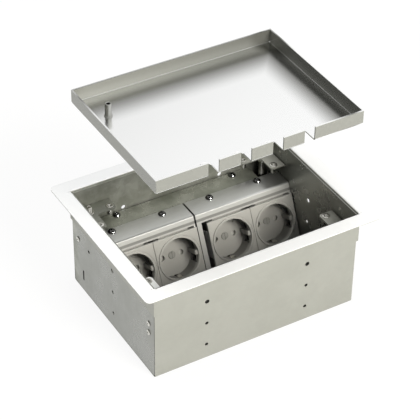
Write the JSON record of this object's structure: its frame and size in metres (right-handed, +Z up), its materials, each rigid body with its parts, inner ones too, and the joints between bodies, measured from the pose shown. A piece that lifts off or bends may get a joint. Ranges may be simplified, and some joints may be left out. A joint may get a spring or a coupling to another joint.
{
  "type": "floor socket box",
  "caption": "Flush floor box of folded sheet metal with a flat rim, sloping carriers of earthed power sockets with shutters, corner gussets and a lift-off tray lid with cable slots.",
  "frame": {"origin": "centre of the underside of the box", "axes": "+X to the right along the front wall, +Y to the back wall, +Z up towards the lid"},
  "size_m": [0.2296, 0.1782, 0.2069],
  "materials": {
    "galvanised_sheet": "zinc-coated sheet steel with faint grey mottling",
    "satin_stainless": "satin stainless sheet",
    "brushed_carrier": "fine brushed sheet",
    "socket_face_plastic": "smooth grey moulding",
    "socket_base_plastic": "dark moulding",
    "shutter_plastic": "smooth dark grey moulding",
    "contact_brass": "plain brass",
    "bright_zinc": "bright zinc plate",
    "spring_steel": "bright spring steel",
    "chromed_screw": "polished chrome plate",
    "grommet_rubber": "smooth black rubber"
  },
  "bodies": {
    "box": {"box_trough": "galvanised_sheet", "cable_grommets": "grommet_rubber", "carrier_screws": "chromed_screw", "centre_screws": "chromed_screw", "corner_gusset_back_left": "galvanised_sheet", "corner_gusset_back_right": "galvanised_sheet", "corner_gusset_front_left": "galvanised_sheet", "corner_gusset_front_right": "galvanised_sheet", "earth_strap_1": "bright_zinc", "earth_strap_2": "bright_zinc", "earth_strap_3": "bright_zinc", "earth_strap_4": "bright_zinc", "earth_stud": "contact_brass", "earth_stud_nuts": "contact_brass", "frame_rivets": "bright_zinc", "front_rail": "galvanised_sheet", "front_rail_rivets": "bright_zinc", "gusset_rivet_nuts": "bright_zinc", "gusset_rivets": "bright_zinc", "pin_contacts_1": "contact_brass", "pin_contacts_2": "contact_brass", "pin_contacts_3": "contact_brass", "pin_contacts_4": "contact_brass", "rail_bracket_rivets": "bright_zinc", "rail_brackets": "galvanised_sheet", "rail_screws": "chromed_screw", "rear_rail": "galvanised_sheet", "shutter_spring_1": "spring_steel", "shutter_spring_2": "spring_steel", "shutter_spring_3": "spring_steel", "shutter_spring_4": "spring_steel", "side_plate_left": "galvanised_sheet", "side_plate_right": "galvanised_sheet", "socket_base_1": "socket_base_plastic", "socket_base_2": "socket_base_plastic", "socket_base_3": "socket_base_plastic", "socket_base_4": "socket_base_plastic", "socket_carrier_left": "brushed_carrier", "socket_carrier_right": "brushed_carrier", "socket_plate_1": "socket_face_plastic", "socket_plate_2": "socket_face_plastic", "socket_plate_3": "socket_face_plastic", "socket_plate_4": "socket_face_plastic", "trim_frame": "satin_stainless"},
    "lid": {"lid_tray": "satin_stainless", "lift_sleeve": "satin_stainless"},
    "levelling_screw_front_left": {"levelling_screw_front_left": "bright_zinc"},
    "levelling_screw_front_right": {"levelling_screw_front_right": "bright_zinc"},
    "levelling_screw_back_left": {"levelling_screw_back_left": "bright_zinc"},
    "levelling_screw_back_right": {"levelling_screw_back_right": "bright_zinc"},
    "shutter_1": {"shutter_1": "shutter_plastic"},
    "shutter_2": {"shutter_2": "shutter_plastic"},
    "shutter_3": {"shutter_3": "shutter_plastic"},
    "shutter_4": {"shutter_4": "shutter_plastic"}
  },
  "joints": [
    {"name": "lid_lift", "type": "slide", "parent": "box", "child": "lid", "axis": [0, 0, 1], "range_m": [-0.1069, 0]},
    {"name": "levelling_front_left", "type": "slide", "parent": "box", "child": "levelling_screw_front_left", "axis": [0, 0, 1], "range_m": [-0.0045, 0]},
    {"name": "levelling_front_right", "type": "slide", "parent": "box", "child": "levelling_screw_front_right", "axis": [0, 0, 1], "range_m": [-0.0045, 0]},
    {"name": "levelling_back_left", "type": "slide", "parent": "box", "child": "levelling_screw_back_left", "axis": [0, 0, 1], "range_m": [-0.0045, 0]},
    {"name": "levelling_back_right", "type": "slide", "parent": "box", "child": "levelling_screw_back_right", "axis": [0, 0, 1], "range_m": [-0.0045, 0]},
    {"name": "shutter_slide_1", "type": "slide", "parent": "box", "child": "shutter_1", "axis": [1, 0, 0], "range_m": [0, 0.00505], "stiffness_N_per_m": 20, "springref_m": -0.004, "deforming": ["shutter_spring_1"]},
    {"name": "shutter_slide_2", "type": "slide", "parent": "box", "child": "shutter_2", "axis": [1, 0, 0], "range_m": [0, 0.00505], "stiffness_N_per_m": 20, "springref_m": -0.004, "deforming": ["shutter_spring_2"]},
    {"name": "shutter_slide_3", "type": "slide", "parent": "box", "child": "shutter_3", "axis": [1, 0, 0], "range_m": [0, 0.00505], "stiffness_N_per_m": 20, "springref_m": -0.004, "deforming": ["shutter_spring_3"]},
    {"name": "shutter_slide_4", "type": "slide", "parent": "box", "child": "shutter_4", "axis": [1, 0, 0], "range_m": [0, 0.00505], "stiffness_N_per_m": 20, "springref_m": -0.004, "deforming": ["shutter_spring_4"]}
  ]
}
